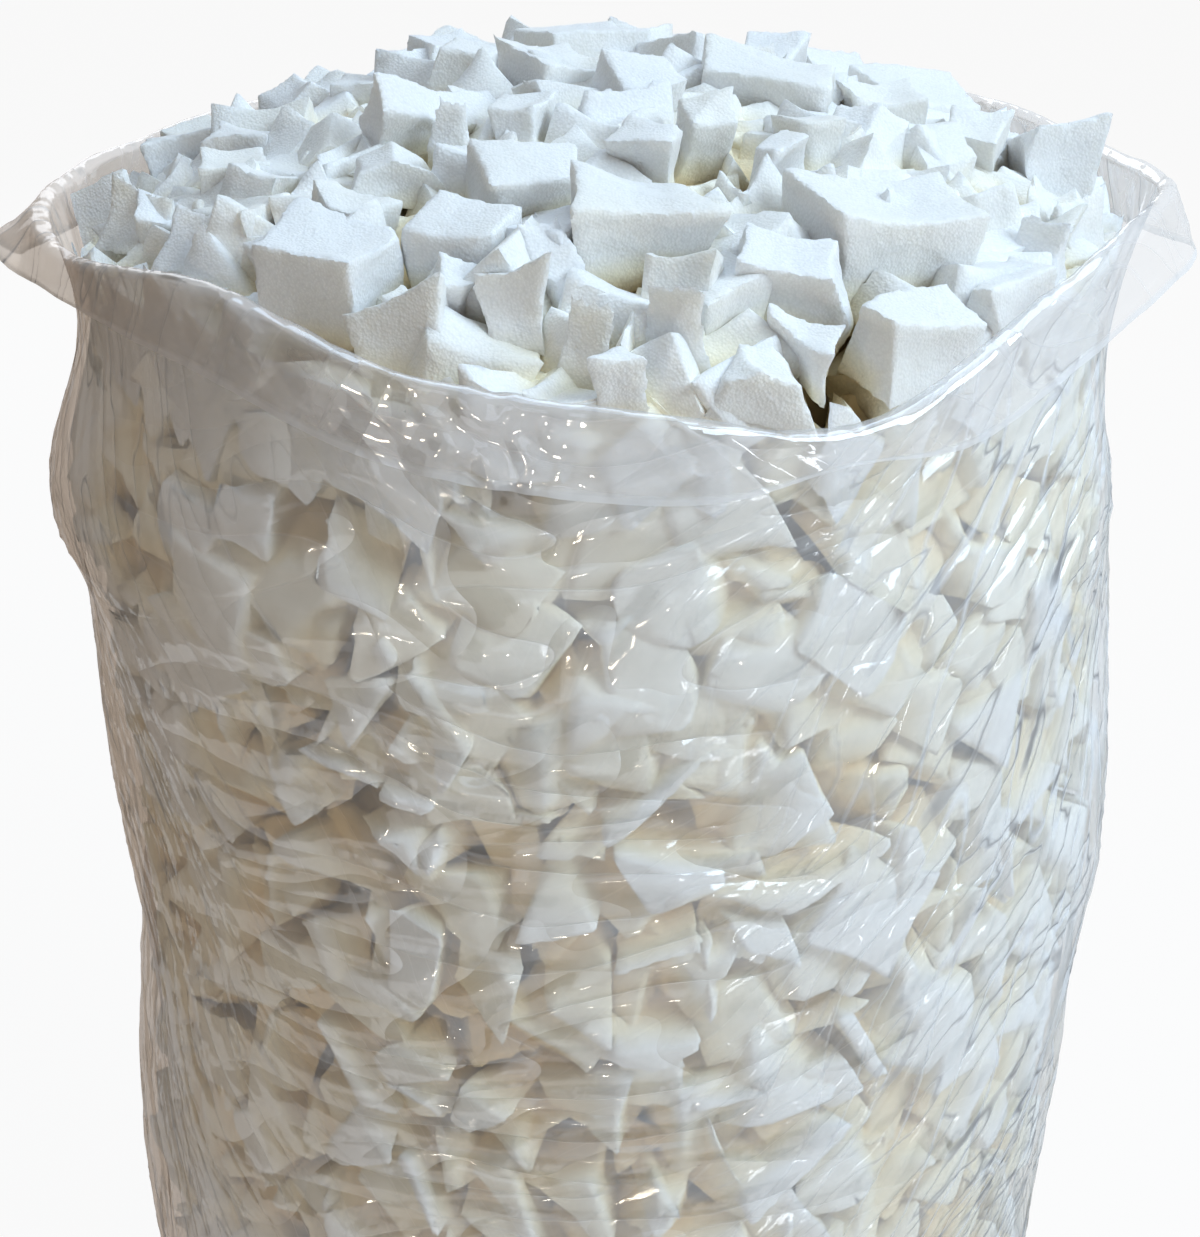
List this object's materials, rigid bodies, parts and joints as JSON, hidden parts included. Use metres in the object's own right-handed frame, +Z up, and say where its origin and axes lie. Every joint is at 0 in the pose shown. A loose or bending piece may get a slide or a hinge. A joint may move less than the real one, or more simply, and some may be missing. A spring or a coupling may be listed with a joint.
{
  "type": "open sack of shredded foam",
  "caption": "Upright clear polythene sack, open at the top with its mouth turned outwards, heaped with irregular white foam offcuts for stuffing and cushioning.",
  "frame": {"origin": "middle of the flat base, on the surface that the sack stands on", "axes": "+Z up through the open mouth, +X and -X through the tube's two side creases, -Y the side seen first"},
  "size_m": [0.4768, 0.469, 0.7911],
  "materials": {
    "film": "clear thin polythene film, glossy and creased",
    "foam": "matt white open-cell foam with cut and torn faces"
  },
  "bodies": {
    "root": {"film_sack": "film", "foam_piece_01": "foam", "foam_piece_02": "foam", "foam_piece_03": "foam", "foam_piece_04": "foam", "foam_piece_05": "foam", "foam_piece_06": "foam", "foam_piece_07": "foam", "foam_piece_08": "foam", "foam_piece_09": "foam", "foam_piece_10": "foam", "foam_piece_11": "foam", "foam_piece_12": "foam", "foam_piece_13": "foam", "foam_piece_14": "foam", "foam_piece_15": "foam", "foam_piece_16": "foam", "foam_piece_17": "foam", "foam_piece_18": "foam", "foam_piece_19": "foam", "foam_piece_20": "foam", "foam_piece_21": "foam", "foam_piece_22": "foam", "foam_piece_23": "foam", "foam_piece_24": "foam", "foam_piece_25": "foam", "foam_piece_26": "foam", "foam_piece_27": "foam", "foam_piece_28": "foam", "foam_piece_29": "foam", "foam_piece_30": "foam", "foam_piece_31": "foam", "foam_piece_32": "foam", "foam_piece_33": "foam", "foam_piece_34": "foam", "foam_piece_35": "foam", "foam_piece_36": "foam", "foam_piece_37": "foam", "foam_piece_38": "foam", "foam_piece_39": "foam", "foam_piece_40": "foam", "foam_piece_41": "foam", "foam_piece_42": "foam", "foam_piece_43": "foam", "foam_piece_44": "foam", "foam_piece_45": "foam", "foam_piece_46": "foam", "foam_piece_47": "foam", "foam_piece_48": "foam", "foam_piece_49": "foam", "foam_piece_50": "foam", "foam_piece_51": "foam", "foam_piece_52": "foam", "foam_piece_53": "foam", "foam_piece_54": "foam", "packed_foam": "foam"}
  },
  "joints": []
}
